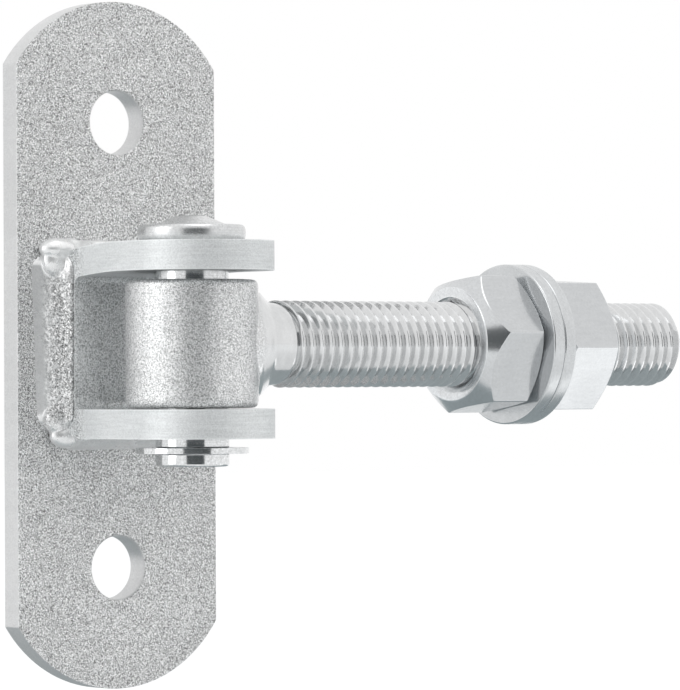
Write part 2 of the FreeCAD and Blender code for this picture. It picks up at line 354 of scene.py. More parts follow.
def turn_on_lathe(name, axis, centre, profile, sides=96):
    """Extrude a disc ring by ring along an axis; the profile lists places along it and radii."""
    across = Vector((1, 1, 1)) - axis
    along, radius = profile[0]
    piece = new_piece(
        name, bpy.ops.mesh.primitive_circle_add, vertices=sides, radius=radius, fill_type="NGON",
        location=centre + axis * along, rotation=axis.to_track_quat("Z", "Y").to_euler(),
    )
    edit_all(piece)
    for next_along, next_radius in profile[1:]:
        extrude(axis * (next_along - along))
        bpy.ops.transform.resize(
            value=axis + across * (next_radius / radius),
            center_override=centre + axis * next_along)
        along, radius = next_along, next_radius
    leave_edit()
    clean(piece)
    return piece


def hand_over(piece, body, slot, *cad_nodes):
    """Let the piece ride on its body and stand for its CAD solids; the slot is not used."""
    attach(piece, body)
    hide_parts(*cad_nodes)
    low, high = (Vector(corner[:]) for corner in (piece.bound_box[0], piece.bound_box[6]))
    size = [round(value / MM, 2) for value in high - low]
    print(piece.name, "has", len(piece.data.polygons), "faces and measures", size, "mm")


print("pieces can be turned and handed over")

# %% [markdown]
# ## Wall plate
# The plate is a piece of 50 x 5 mm flat bar with arched ends and two punched holes. It starts as
# a disc with the radius of its ends. Pulling the halves apart makes it long, and two bisect cuts
# give it the straight sides, so the arches come out with the true radius.

# %% Shape the plate
PLATE_END_RADIUS = 30 * MM
BOLT_HOLE_RADIUS = 6.5 * MM
BOLT_HOLE_HEIGHT = 46 * MM
PUNCH_PROFILE = [
    (-6.2 * MM, 8.2 * MM), (-4.75 * MM, 6.62 * MM), (-4.2 * MM, BOLT_HOLE_RADIUS),
    (1 * MM, BOLT_HOLE_RADIUS),
]
low, high = (Vector(corner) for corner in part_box("mounting_plate"))
middle = (low + high) / 2
lying_along_y = (math.pi / 2, 0, 0)
plate = new_piece(
    "wall_plate", bpy.ops.mesh.primitive_cylinder_add, vertices=256, radius=PLATE_END_RADIUS,
    depth=high.y - low.y, location=middle, rotation=lying_along_y,
)
stretch = high.z - PLATE_END_RADIUS
for side in (1, -1):
    select(plate, "VERT", lambda point: point.z * side > -1e-6)
    bpy.ops.transform.translate(value=(0, 0, stretch * side))
    leave_edit()
clean(plate)
for side in (1, -1):
    saw_off(plate, ALONG_X * high.x * side, ALONG_X * side)
for side in (1, -1):
    punch = turn_on_lathe(
        "hole_punch", ALONG_Y, ALONG_Z * BOLT_HOLE_HEIGHT * side, PUNCH_PROFILE)
    combine(plate, punch, "DIFFERENCE")
round_edges(plate, 0.45 * MM)
hand_over(plate, "bracket", "plate_zinc", "mounting_plate")

# %% [markdown]
# ## Clevis bracket
# The bracket is 30 x 6 mm flat bar bent twice. It is modelled as it is bent: the end of the bar is
# extruded for the upper ear, spun round the bend, extruded for the web, spun again and extruded
# for the lower ear. The upper ear sags a little towards its bend, so that run is extruded in short
# steps. A wide bevel of the ears' corners rounds them off, and the pin holes follow.

# %% Bend the bar
BAR_THICKNESS = 6 * MM
BEND_RADIUS = 2 * MM
EAR_SAG = 0.9 * MM
SAG_RUN = 16 * MM
SAG_STEPS = 6
low, high = (Vector(corner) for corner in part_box("clevis_bracket"))
bar_width = high.x - low.x
bend_out = BEND_RADIUS + BAR_THICKNESS
clevis = new_piece(
    "clevis_bar", bpy.ops.mesh.primitive_plane_add, size=1, rotation=lying_along_y,
    location=(0, low.y, high.z - BAR_THICKNESS / 2), stretch=(bar_width, BAR_THICKNESS, 1),
)
print("bar end measures", [round(value / MM, 1) for value in clevis.dimensions])
edit_all(clevis)


def bend(centre):
    bpy.ops.mesh.spin(
        steps=10, angle=math.pi / 2, center=centre, axis=ALONG_X, dupli=False,
        use_auto_merge=False)


ear_length = high.y - bend_out - low.y
extrude((0, ear_length - SAG_RUN, 0))
for step in range(SAG_STEPS):
    extrude((0, SAG_RUN / SAG_STEPS, -EAR_SAG * (2 * step + 1) / SAG_STEPS ** 2))
bend((0, high.y - bend_out, high.z - EAR_SAG - bend_out))
extrude((0, 0, -(high.z - EAR_SAG - low.z - 2 * bend_out)))
bend((0, high.y - bend_out, low.z + bend_out))
extrude((0, -ear_length, 0))
leave_edit()
clean(clevis)
print("bent bar measures", [round(value / MM, 2) for value in clevis.dimensions])

# %% Round the ears and drill them
PIN_HOLE_RADIUS = 7.58 * MM
DRILL_REACH = 30 * MM
pin_centre = Vector((0, -31 * MM, 0))


def upright_at_ear_end(first, last):
    at_end = max(first.y, last.y) < low.y + NEAR
    return at_end and abs(first.z - last.z) > BAR_THICKNESS / 2


select(clevis, "EDGE", upright_at_ear_end)
bpy.ops.mesh.bevel(offset=bar_width / 2 - 0.01 * MM, segments=28, affect="EDGES")
leave_edit()
print("ears rounded,", len(clevis.data.polygons), "faces")
drill = turn_on_lathe(
    "pin_drill", ALONG_Z, pin_centre,
    [(-DRILL_REACH, PIN_HOLE_RADIUS), (DRILL_REACH, PIN_HOLE_RADIUS)])
combine(clevis, drill, "DIFFERENCE")
round_edges(clevis, 0.7 * MM)
hand_over(clevis, "bracket", "bar_zinc", "clevis_bracket")

# %% [markdown]
# ## Hinge pin
# The pin is turned from bar: a chamfered foot, a groove for the ring, the plain bearing length and
# a flat head with a low conical boss. A lathe is easiest to copy by extruding one disc again and
# again and scaling each new ring.

# %% Turn the pin
low, high = (Vector(corner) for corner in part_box("hinge_pin"))
ring_low, ring_high = (Vector(corner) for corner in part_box("retaining_ring"))
PIN_RADIUS = 7.5 * MM
PIN_CHAMFER = 0.35 * MM
GROOVE_RADIUS = 6 * MM
GROOVE_CLEARANCE = 0.05 * MM
HEAD_RADIUS = 11 * MM
HEAD_HEIGHT = 5.1 * MM
HEAD_RIM = [(0, -0.3), (0.5, -0.1), (1.2, 0), (2.0, 0), (2.7, -0.14), (3.2, -0.6)]
HEAD_BOSS = [(3.35, 7.0), (4.9, 3.4)]
BOSS_TOP_RADIUS = 2.4 * MM
head_under = high.z - HEAD_HEIGHT
groove_low, groove_high = ring_low.z - GROOVE_CLEARANCE, ring_high.z + GROOVE_CLEARANCE
pin = turn_on_lathe("turned_pin", ALONG_Z, pin_centre, [
    (low.z, PIN_RADIUS - PIN_CHAMFER), (low.z + PIN_CHAMFER, PIN_RADIUS),
    (groove_low, PIN_RADIUS), (groove_low, GROOVE_RADIUS),
    (groove_high, GROOVE_RADIUS), (groove_high, PIN_RADIUS), (head_under, PIN_RADIUS),
    *((head_under + up * MM, HEAD_RADIUS + out * MM) for up, out in HEAD_RIM),
    *((head_under + up * MM, radius * MM) for up, radius in HEAD_BOSS),
    (high.z, BOSS_TOP_RADIUS),
], sides=128)
round_edges(pin, 0.22 * MM, angle=15)
hand_over(pin, "pin", "pin_zinc", "hinge_pin")

# %% [markdown]
# ## Snap ring
# An open ring stamped from spring sheet sits in the pin's groove. It is cut from a disc: the bore,
# the mouth that lets it snap on from the side and the two notches that make it springy.

# %% Stamp the ring
RING_RADIUS = 11.5 * MM
RING_PUNCHES = [((0, 0), 6.05), ((5.2, -3), 2.6), ((-5.2, -3), 2.6)]
PUNCH_REACH = 1 * MM
MOUTH_SIZE = (10 * MM, 16 * MM, 2 * MM)
thickness = ring_high.z - ring_low.z
ring_middle = pin_centre + ALONG_Z * (ring_low.z + ring_high.z) / 2
ring = turn_on_lathe(
    "snap_ring", ALONG_Z, ring_middle,
    [(-thickness / 2, RING_RADIUS), (thickness / 2, RING_RADIUS)], sides=128)
for place, radius in RING_PUNCHES:
    punch = turn_on_lathe(
        "ring_punch", ALONG_Z, ring_middle + Vector((*place, 0)) * MM,
        [(-PUNCH_REACH, radius * MM), (PUNCH_REACH, radius * MM)], sides=64)
    combine(ring, punch, "DIFFERENCE")
mouth = new_piece(
    "ring_mouth", bpy.ops.mesh.primitive_cube_add, size=1,
    location=ring_middle + ALONG_Y * MOUTH_SIZE[1] / 2, stretch=MOUTH_SIZE)
combine(ring, mouth, "DIFFERENCE")
round_edges(ring, 0.16 * MM)
hand_over(ring, "pin", "pin_zinc", "retaining_ring")

# %% [markdown]
# ## Eye bolt
# The eye is forged onto the end of the shank, so its collar flows into it without a sharp line.
# Barrel, collar and shank are joined, remeshed as one skin and smoothed, which gives that soft
# blend. The bore is cut afterwards, because it is drilled and keeps its clean edge.

# %% Forge the eye
EYE_RADIUS = 13.5 * MM
EYE_HALF = 13 * MM
SHANK_RADIUS = 8.5 * MM
COLLAR_RADIUS = 10.6 * MM
COLLAR_RIM = 17.2 * MM
COLLAR_FOOT = 19.6 * MM
RIM_CURVE = (1.1, -8.2)
FOOT_CURVE = (2.4, -6.5)
INSIDE_EYE = 2 * MM
SHANK_PROFILE = [
    (INSIDE_EYE, SHANK_RADIUS), (20.4 * MM, SHANK_RADIUS), (22.6 * MM, 7.3 * MM),
    (25 * MM, 7.0 * MM),
]
eye = new_piece(
    "eye_bolt_forged", bpy.ops.mesh.primitive_cylinder_add, vertices=128, radius=EYE_RADIUS,
    depth=2 * EYE_HALF, location=pin_centre)
round_edges(eye, 1.2 * MM)
collar = turn_on_lathe("collar", ALONG_X, pin_centre, [
    (INSIDE_EYE, COLLAR_RADIUS), (COLLAR_RIM, COLLAR_RADIUS),
    (COLLAR_FOOT, SHANK_RADIUS - 0.15 * MM),
], sides=128)
for vertex in collar.data.vertices:
    offset = vertex.co - pin_centre
    side = abs(offset.y) / max(math.hypot(offset.y, offset.z), MM)
    if offset.x > COLLAR_RIM - NEAR:
        bow, pull = FOOT_CURVE if offset.x > COLLAR_FOOT - NEAR else RIM_CURVE
        vertex.co.x += (bow * side + pull) * side * MM
shank = turn_on_lathe("shank", ALONG_X, pin_centre, SHANK_PROFILE)
combine(eye, collar, "UNION")
combine(eye, shank, "UNION")
apply_modifier(eye, "REMESH", mode="VOXEL", voxel_size=0.33 * MM, adaptivity=0)
apply_modifier(eye, "SMOOTH", factor=0.5, iterations=6)
print("forged eye has", len(eye.data.polygons), "faces")

# %% [markdown]
# ## Rolled thread
# The M18 thread has a pitch of 2.5 mm. Its outline over one pitch is extruded point by point from
# a single vertex, and a Screw modifier carries it round the rod. Cutting the helix square at both
# ends closes it, and a chamfered blank trims the tip as the maker's lathe does.

# %% Roll the thread
PITCH = 2.5 * MM
THREAD_OUTLINE = [
    (0.00, 7.47), (0.28, 7.50), (0.44, 7.68), (0.97, 8.84), (1.12, 8.97),
    (1.38, 8.97), (1.53, 8.84), (2.06, 7.68), (2.22, 7.50), (2.50, 7.47),
]
THREAD_START = 20.8 * MM
THREAD_STEPS = 64
BLANK_START = (18 * MM, 9.5 * MM)
TIP_PROFILE = [(-2.6, 9.5), (-2.2, 9.0), (0, 6.9)]
EYE_DRILL = [
    (-14 * MM, 9.2 * MM), (-12.4 * MM, PIN_HOLE_RADIUS), (12.4 * MM, PIN_HOLE_RADIUS),
    (14 * MM, 9.2 * MM),
]
bolt_end = Vector(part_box("eye_bolt")[1]).x


def rolled_thread(name, start, end, grow=0.0):
    """A closed threaded rod on the bolt's axis from start to end, grown outwards by grow."""
    turns = math.ceil((end - start) / PITCH) + 3
    first = math.floor(start / PITCH) * PITCH - PITCH
    rod = new_piece(name, bpy.ops.mesh.primitive_plane_add, size=MM)
    edit_all(rod)
    bpy.ops.mesh.select_mode(type="VERT")
    bpy.ops.mesh.merge(type="CENTER")
    along, radius = 0, 0
    for number, (next_along, next_radius) in enumerate(THREAD_OUTLINE):
        step = (next_along * MM - along, 0, next_radius * MM + grow - radius)
        if number:
            extrude(step)
        else:
            bpy.ops.transform.translate(value=step)
        along, radius = next_along * MM, next_radius * MM + grow
    leave_edit()
    apply_modifier(
        rod, "SCREW", axis="X", angle=2 * math.pi, screw_offset=PITCH, iterations=turns,
        steps=THREAD_STEPS, render_steps=THREAD_STEPS, use_merge_vertices=True,
        merge_threshold=0.002 * MM)
    bpy.ops.transform.translate(value=pin_centre + ALONG_X * first)
    bpy.ops.object.transform_apply(location=True, rotation=True, scale=True)
    clean(rod)
    for place, outwards in ((start, -1), (end, 1)):
        saw_off(rod, ALONG_X * place, ALONG_X * outwards)
    clean(rod)
    return rod


rod = rolled_thread("threaded_rod", THREAD_START, bolt_end)
blank = turn_on_lathe("tip_blank", ALONG_X, pin_centre, [
    BLANK_START, *((bolt_end + along * MM, radius * MM) for along, radius in TIP_PROFILE)])
combine(rod, blank, "INTERSECT")
print("thread has", len(rod.data.polygons), "faces")
combine(eye, rod, "UNION")
drill = turn_on_lathe("eye_drill", ALONG_Z, pin_centre, EYE_DRILL, sides=128)
combine(eye, drill, "DIFFERENCE")
bpy.ops.object.shade_smooth_by_angle(angle=math.radians(38))
hand_over(eye, "eye_bolt", "eye_zinc", "eye_bolt")

# %% [markdown]
# ## Nuts
# A pressed hexagon nut is chamfered on both faces, so each flat ends in an arc. A six-sided prism
# cut by a double cone gives those arcs, and the nose of the inner nut is cut steeper. The bore is
# cut by the bolt's own thread, grown by its clearance, so the nut's thread stays in step as it
# winds along.

# %% Press the nuts
NUT_CORNER_RADIUS = 15.588 * MM
CONE_RADIUS = 17 * MM
THREAD_CLEARANCE = 0.09 * MM
SINK_PROFILE = [(-1.6, 8.4), (0.5, 10.5)]
PLAIN_FACE = (12.8 * MM, math.radians(30))
STEEP_NOSE = (12.0 * MM, math.radians(47))
lying_along_x = Matrix.Rotation(math.pi / 2, 3, "Y")


def hexagon_nut(name, node, turned, left_face):
    """A nut over its CAD node, turned by some degrees, with its own chamfer on the left."""
    low, high = (Vector(corner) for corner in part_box(node))
    nut = new_piece(
        name, bpy.ops.mesh.primitive_cylinder_add, vertices=6, radius=NUT_CORNER_RADIUS,
        depth=high.x - low.x, location=pin_centre + ALONG_X * (low.x + high.x) / 2,
        rotation=(Matrix.Rotation(math.radians(turned), 3, "X") @ lying_along_x).to_euler())
    left_radius, left_slope = left_face
    right_radius, right_slope = PLAIN_FACE
    cone = turn_on_lathe("nut_cone", ALONG_X, pin_centre, [
        (low.x, left_radius),
        (low.x + (CONE_RADIUS - left_radius) * math.tan(left_slope), CONE_RADIUS),
        (high.x - (CONE_RADIUS - right_radius) * math.tan(right_slope), CONE_RADIUS),
        (high.x, right_radius),
    ], sides=144)
    combine(nut, cone, "INTERSECT")
    round_edges(nut, 0.35 * MM, angle=12)
    tap = rolled_thread("nut_tap", low.x - MM, high.x + MM, grow=THREAD_CLEARANCE)
    combine(nut, tap, "DIFFERENCE")
    for face, outwards in ((low.x, -1), (high.x, 1)):
        sink = turn_on_lathe("nut_sink", ALONG_X, pin_centre, [
            (face + along * MM * outwards, radius * MM) for along, radius in SINK_PROFILE])
        combine(nut, sink, "DIFFERENCE")
    clean(nut)
    bpy.ops.object.shade_smooth_by_angle(angle=math.radians(40))
    return nut


inner_nut = hexagon_nut("nut_inner", "inner_nut", -9, STEEP_NOSE)
outer_nut = hexagon_nut("nut_outer", "outer_nut", 3, PLAIN_FACE)
hand_over(inner_nut, "inner_nut", "nut_zinc", "inner_nut")
hand_over(outer_nut, "outer_nut", "nut_zinc", "outer_nut")

# %% [markdown]
# ## Washers
# The washers are punched from sheet. Both are alike, so one is turned, bored and rounded, and the
# other is a copy with its own mesh, moved to its place.

# %% Punch the washers
WASHER_RADIUS = 17 * MM
WASHER_BORE_RADIUS = 9.5 * MM
low, high = (Vector(corner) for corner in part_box("inner_washer"))
inner_washer = turn_on_lathe("washer_inner", ALONG_X, pin_centre, [
    (low.x, WASHER_RADIUS), (high.x, WASHER_RADIUS)], sides=160)
bore = turn_on_lathe("washer_bore", ALONG_X, pin_centre, [
    (low.x - MM, WASHER_BORE_RADIUS), (high.x + MM, WASHER_BORE_RADIUS)])
combine(inner_washer, bore, "DIFFERENCE")
round_edges(inner_washer, 0.4 * MM)
bpy.ops.object.duplicate()
outer_washer = bpy.context.object
outer_washer.name = outer_washer.data.name = "washer_outer"
bpy.ops.transform.translate(value=(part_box("outer_washer")[0][0] - low.x, 0, 0))
bpy.ops.object.transform_apply(location=True, rotation=True, scale=True)
hand_over(inner_washer, "inner_washer", "washer_zinc", "inner_washer")
hand_over(outer_washer, "outer_washer", "washer_zinc", "outer_washer")

# %% [markdown]
# ## Weld beads
# Four hand-laid beads hold the bracket to the plate. A bead is a row of frozen puddles, with
# ripples across it, lumps along it and a round blob where the arc stopped. Each one starts as a
# long tube whose points are laid on the joint's section. Blobs are joined to it, and a voxel
# remesh melts them into one skin. Lengths in these cells are in millimetres.

# %% Skin of a bead
RIPPLE_LENGTH = 1.3
RIPPLE_SLANT = 2.2
RIPPLED_PLACE = -8.5
RIPPLED_REACH = 3
PLAIN_RIPPLE, ADDED_RIPPLE = 0.03, 0.3
LUMP_LENGTH = 2.6
LUMP_HEIGHT = 0.5
RIDGE_HEIGHT = 0.45
RIDGE_SHARE, RIDGE_WIDTH = 0.9, 0.08
SMOOTH_SHARE, FADE_SHARE = 0.25, 0.35


def crease(place, seed):
    """Smooth noise at a place, in another part of it for each seed."""
    return noise.noise(place + Vector((seed, 2 * seed, -seed)))


def face_lift(along, across, bulge, seed):
    """How far the face stands out at a place along the bead and a share of the way across it."""
    hump = math.sin(math.pi * across)
    ripple = math.sin((along + RIPPLE_SLANT * across) * 2 * math.pi / RIPPLE_LENGTH)
    lump = crease(Vector((along / LUMP_LENGTH, across * 2, 0)), seed)
    rippled = ADDED_RIPPLE * max(0, 1 - abs(along - RIPPLED_PLACE) / RIPPLED_REACH)
    ridge = RIDGE_HEIGHT * math.exp(-((across - RIDGE_SHARE) / RIDGE_WIDTH) ** 2)
    past_toe = min(1, max(0, (across - SMOOTH_SHARE) / FADE_SHARE))
    uneven = (PLAIN_RIPPLE + rippled) * ripple + LUMP_HEIGHT * lump
    return ridge + hump * (bulge + past_toe * uneven)


print("the face of a bead can be worked out")

# %% Tube of a bead
BEAD_SIDES = 48
BEAD_RINGS = 150
FACE_SHARE = 0.72
END_SHARE = 0.2
END_THICKNESS = 0.04


def bead_tube(name, run, section, length, bulge, seed):
    """Lay a tube along run over a section of plate toe, metal toe and root."""
    tube = new_piece(
        name, bpy.ops.mesh.primitive_cylinder_add, vertices=BEAD_SIDES, radius=1, depth=1)
    select(tube, "EDGE", lambda first, last: abs(first.z - last.z) > 0.5)
    bpy.ops.mesh.subdivide(number_cuts=BEAD_RINGS)
    leave_edit()
    for vertex in tube.data.vertices:
        share = (math.atan2(vertex.co.y, vertex.co.x) / (2 * math.pi)) % 1
        from_middle, along = abs(vertex.co.z) * 2, vertex.co.z * length
        plate_toe, metal_toe, root = section(vertex.co.z)
        out = (plate_toe + metal_toe) / 2 - root
        out.normalize()
        if share < FACE_SHARE:
            across = share / FACE_SHARE
            lift = face_lift(along, across, bulge, seed)
            place = plate_toe.lerp(metal_toe, across) + out * lift
        else:
            back = (share - FACE_SHARE) / (1 - FACE_SHARE) * 2
            place = metal_toe.lerp(root, back) if back < 1 else root.lerp(plate_toe, back - 1)
        end = max(from_middle - (1 - END_SHARE), 0) / END_SHARE
        place = root.lerp(place, math.sqrt(max(1 - end * end, END_THICKNESS)))
        vertex.co = (run(along) + place) * MM
    clean(tube)
    return tube


print("a bead has", BEAD_RINGS, "rings")

# %% Blobs and grit
COARSE_GRIT, FINE_GRIT = 0.8, 0.36
FINE_GRIT_SHARE = 0.7


def add_blobs(bead, blobs):
    """Join squashed balls to a bead and melt all of it into one skin."""
    balls = [new_piece(
        "blob", bpy.ops.mesh.primitive_ico_sphere_add, subdivisions=4, radius=MM, stretch=radii,
        location=Vector(place) * MM) for place, radii in blobs]
    make_active(bead)
    for ball in balls:
        ball.select_set(True)
    bpy.ops.object.join()
    apply_modifier(bead, "REMESH", mode="VOXEL", voxel_size=0.2 * MM, adaptivity=0)
    apply_modifier(bead, "SMOOTH", factor=0.5, iterations=14)


def roughen(bead, seed, depth, wanted):
    """Push the skin in and out by fine noise where wanted gives a share above 0."""
    mesh = bead.data
    normals = [vertex.normal.copy() for vertex in mesh.vertices]
    for vertex, normal in zip(mesh.vertices, normals):
        place = vertex.co / MM
        coarse, fine = crease(place / COARSE_GRIT, seed), crease(place / FINE_GRIT, seed + 5)
        grit = coarse + FINE_GRIT_SHARE * fine
        vertex.co += normal * grit * depth * wanted(place) * MM


print("blobs and grit ready")

# %% Sections of the four joints
CLEVIS_MIDDLE = 0.8
WELD_TOE = -5.8
WELD_TOE_FADE = 1.8
ROUGH_MIDDLE = -1
ROUGH_REACH = 16


def side_section(side):
    """The joint at the bracket's edge; its leg on the plate grows upwards."""
    def section(along):
        leg = 6.0 + 1.5 * along
        return (Vector((side * (15.4 + leg), -4.7, 0)), Vector((side * 15.0, -10.8, 0)),
                Vector((side * 14.4, -4.6, 0)))
    return section


def bend_section(side, toe, sag):
    """The groove at a bend, with its toe on the plate and the sag of the ear."""
    def section(along):
        lift = CLEVIS_MIDDLE - sag
        return (Vector((0, -5.0, lift + side * toe)), Vector((0, -10.3, lift + side * 19.6)),
                Vector((0, -4.7, lift + side * 16.0)))
    return section


def upright(along):
    """The run of a side bead."""
    return Vector((0, 0, CLEVIS_MIDDLE + along))


def level(along):
    """The run of a bead at a bend."""
    return Vector((along, 0, 0))


def middle_share(place):
    """Grit in the middle of a side bead that fades at its ends and at its toe."""
    beyond_toe = min(1.0, max(0.0, (WELD_TOE - place.y) / WELD_TOE_FADE))
    return beyond_toe * max(0.0, 1 - abs(place.z - ROUGH_MIDDLE) / ROUGH_REACH) ** 0.5


def plain_share(place):
    """The same thin grit everywhere."""
    return 0.25


print("joints lie", CLEVIS_MIDDLE, "mm above the plate's middle")

# %% Lay the beads
SIDE_LENGTH = 37
BEND_LENGTH = 30.6
left_bead = bead_tube("weld_left", upright, side_section(-1), SIDE_LENGTH, -0.7, seed=3)
add_blobs(left_bead, [
    ((-16.4, -7.1, 19.6), (4.3, 2.9, 2.3)), ((-16.8, -7.2, 17.4), (3.3, 1.9, 3.6)),
    ((-15.5, -8.7, 13.8), (1.3, 1.6, 2.0)), ((-13.4, -6.8, 21.0), (2.6, 1.6, 0.9)),
    ((-16.4, -6.5, -15.2), (3.0, 2.3, 3.2)), ((-14.4, -6.6, -18.6), (3.7, 2.2, 2.6))])
roughen(left_bead, 11, 0.36, middle_share)
right_bead = bead_tube("weld_right", upright, side_section(1), SIDE_LENGTH, -0.4, seed=7)
add_blobs(right_bead, [
    ((16.0, -6.8, 19.6), (3.0, 2.2, 2.0)), ((15.2, -6.9, -18.6), (2.8, 2.2, 1.8)),
    ((17.0, -7.2, 6.0), (1.2, 1.1, 2.4))])
roughen(right_bead, 13, 0.22, middle_share)
top_joint = bend_section(1, 21.7, EAR_SAG / MM)
top_bead = bead_tube("weld_top", level, top_joint, BEND_LENGTH, 0.25, seed=17)
add_blobs(top_bead, [((9, -6.6, 20.6), (3.0, 1.6, 1.0)), ((-5, -6.5, 20.6), (4.2, 1.6, 1.0))])
roughen(top_bead, 19, 0.2, plain_share)
bottom_joint = bend_section(-1, 22.5, 0)
bottom_bead = bead_tube("weld_bottom", level, bottom_joint, BEND_LENGTH, 0.25, seed=23)
add_blobs(bottom_bead, [
    ((6, -6.6, -19.8), (3.6, 1.6, 1.0)), ((-8, -6.5, -19.8), (3.0, 1.6, 1.0))])
roughen(bottom_bead, 29, 0.2, plain_share)
for bead, node in ((left_bead, "weld_bead_left"), (right_bead, "weld_bead_right"),
                   (top_bead, "weld_bead_top"), (bottom_bead, "weld_bead_bottom")):
    make_active(bead)
    bpy.ops.object.shade_smooth()
    hand_over(bead, "bracket", "weld_zinc", node)

# %% [markdown]
# ## Zinc plating
# Bright zinc is a thin crystalline coat. Over rolled bar it shows the bar's grain, over turned and
# pressed parts it is almost smooth, and everywhere it is a little cloudy. Four effects are shared
# by all finishes, so each is a node group: crystals, drawn lines, clouds and worn edges with a
# painted highlight.

# %% Build effects from nodes
def add_node(tree, kind, **settings):
    """A new node with its settings."""
    made = tree.nodes.new(kind)
    for setting, value in settings.items():
        setattr(made, setting, value)
    return made


def effect_group(name, inputs, outputs):
    """A new node group with its sockets, to be filled by the cells below."""
    tree = bpy.data.node_groups.new(name, "ShaderNodeTree")
    for label, kind in inputs:
        tree.interface.new_socket(label, in_out="INPUT", socket_type=kind)
    for label, kind in outputs:
        tree.interface.new_socket(label, in_out="OUTPUT", socket_type=kind)
    return tree, add_node(tree, "NodeGroupInput").outputs, add_node(tree, "NodeGroupOutput").inputs


def join(tree, operation, first, second):
    """A math node on two values, each a socket or a number."""
    made = add_node(tree, "ShaderNodeMath", operation=operation)
    for socket, value in zip(made.inputs, (first, second)):
        if isinstance(value, bpy.types.NodeSocket):
            tree.links.new(value, socket)
        else:
            socket.default_value = value
    return made.outputs[0]


FLOAT, VECTOR, COLOUR = "NodeSocketFloat", "NodeSocketVector", "NodeSocketColor"
print("sockets in use:", FLOAT, VECTOR, COLOUR)

# %% Crystals
FINE_SHARE, CELL_SHARE = 0.65, 0.35
crystals, given, out = effect_group(
    "zinc_crystals", [("Vector", VECTOR), ("Scale", FLOAT)], [("Shade", FLOAT)])
fine = add_node(crystals, "ShaderNodeTexNoise")
fine.inputs["Detail"].default_value = 3
fine.inputs["Roughness"].default_value = 0.7
cells = add_node(crystals, "ShaderNodeTexVoronoi")
grey = add_node(crystals, "ShaderNodeRGBToBW")
crystals.links.new(given["Vector"], fine.inputs["Vector"])
crystals.links.new(given["Vector"], cells.inputs["Vector"])
crystals.links.new(given["Scale"], fine.inputs["Scale"])
crystals.links.new(given["Scale"], cells.inputs["Scale"])
crystals.links.new(cells.outputs["Color"], grey.inputs[0])
both = join(crystals, "ADD", join(crystals, "MULTIPLY", fine.outputs["Fac"], FINE_SHARE),
            join(crystals, "MULTIPLY", grey.outputs[0], CELL_SHARE))
crystals.links.new(both, out["Shade"])
print("effect made:", crystals.name)

# %% Drawn lines
lines, given, out = effect_group(
    "drawn_lines", [("Vector", VECTOR), ("Stretch", VECTOR)], [("Shade", FLOAT)])
stretched = add_node(lines, "ShaderNodeVectorMath", operation="MULTIPLY")
lines.links.new(given["Vector"], stretched.inputs[0])
lines.links.new(given["Stretch"], stretched.inputs[1])
strands = add_node(lines, "ShaderNodeTexNoise")
strands.inputs["Scale"].default_value = 1
strands.inputs["Detail"].default_value = 4
lines.links.new(stretched.outputs[0], strands.inputs["Vector"])
lines.links.new(strands.outputs["Fac"], out["Shade"])
print("effect made:", lines.name)

# %% Clouds
CLOUD_RANGE = (0.3, 0.7)
clouds, given, out = effect_group(
    "plating_clouds", [("Vector", VECTOR), ("Scale", FLOAT), ("Bright", COLOUR), ("Dull", COLOUR)],
    [("Colour", COLOUR), ("Cloud", FLOAT)])
patches = add_node(clouds, "ShaderNodeTexNoise")
patches.inputs["Detail"].default_value = 5
patches.inputs["Distortion"].default_value = 0.6
clouds.links.new(given["Vector"], patches.inputs["Vector"])
clouds.links.new(given["Scale"], patches.inputs["Scale"])
spread = map_range(clouds, patches.outputs["Fac"], CLOUD_RANGE)
tone = add_node(clouds, "ShaderNodeMix", data_type="RGBA")
clouds.links.new(spread, tone.inputs["Factor"])
clouds.links.new(given["Bright"], tone.inputs[6])
clouds.links.new(given["Dull"], tone.inputs[7])
clouds.links.new(tone.outputs[2], out["Colour"])
clouds.links.new(spread, out["Cloud"])
print("effect made:", clouds.name)

# %% Worn edges with a painted highlight
FLAT_TO_EDGE = (0.995, 0.90)
edges, given, out = effect_group("worn_and_highlit_edges", [("Width", FLOAT)], [("Edge", FLOAT)])
rounded = add_node(edges, "ShaderNodeBevel", samples=4)
edges.links.new(given["Width"], rounded.inputs["Radius"])
true_face = add_node(edges, "ShaderNodeNewGeometry")
turned = add_node(edges, "ShaderNodeVectorMath", operation="DOT_PRODUCT")
edges.links.new(rounded.outputs[0], turned.inputs[0])
edges.links.new(true_face.outputs["Normal"], turned.inputs[1])
edges.links.new(map_range(edges, turned.outputs["Value"], FLAT_TO_EDGE), out["Edge"])
print("effect made:", edges.name)

# %% [markdown]
# ## One finish for each kind of metal
# All finishes use the same recipe with their own numbers: clouds give the colour, crystals and
# drawn lines shade it and feed the bump, and edges are lightened, partly as worn zinc and partly
# as a painted highlight. Where one piece has two kinds of surface, such as a grainy face and a
# smooth edge, a mask leads from one to the other; on some pieces its tone paints shade or light.

# %% Place effects and mask them
ROUGH_FADE = (17 * MM, 13 * MM)
FACING_RANGE = (0.6, 0.9)


def place_group(tree, group, vector=None, **values):
    """An effect in a material, led by a vector, with its constants on its sockets."""
    made = add_node(tree, "ShaderNodeGroup", node_tree=group)
    if vector is not None:
        tree.links.new(vector, made.inputs["Vector"])
    for label, value in values.items():
        made.inputs[label].default_value = value
    return made.outputs


def along_axis(axis, start, end):
    """A mask that climbs from 0 to 1 between two places on the piece."""
    def mask(tree, coordinates):
        parts = add_node(tree, "ShaderNodeSeparateXYZ")
        tree.links.new(coordinates["Object"], parts.inputs[0])
        return map_range(tree, parts.outputs[axis], (start * MM, end * MM))
    return mask


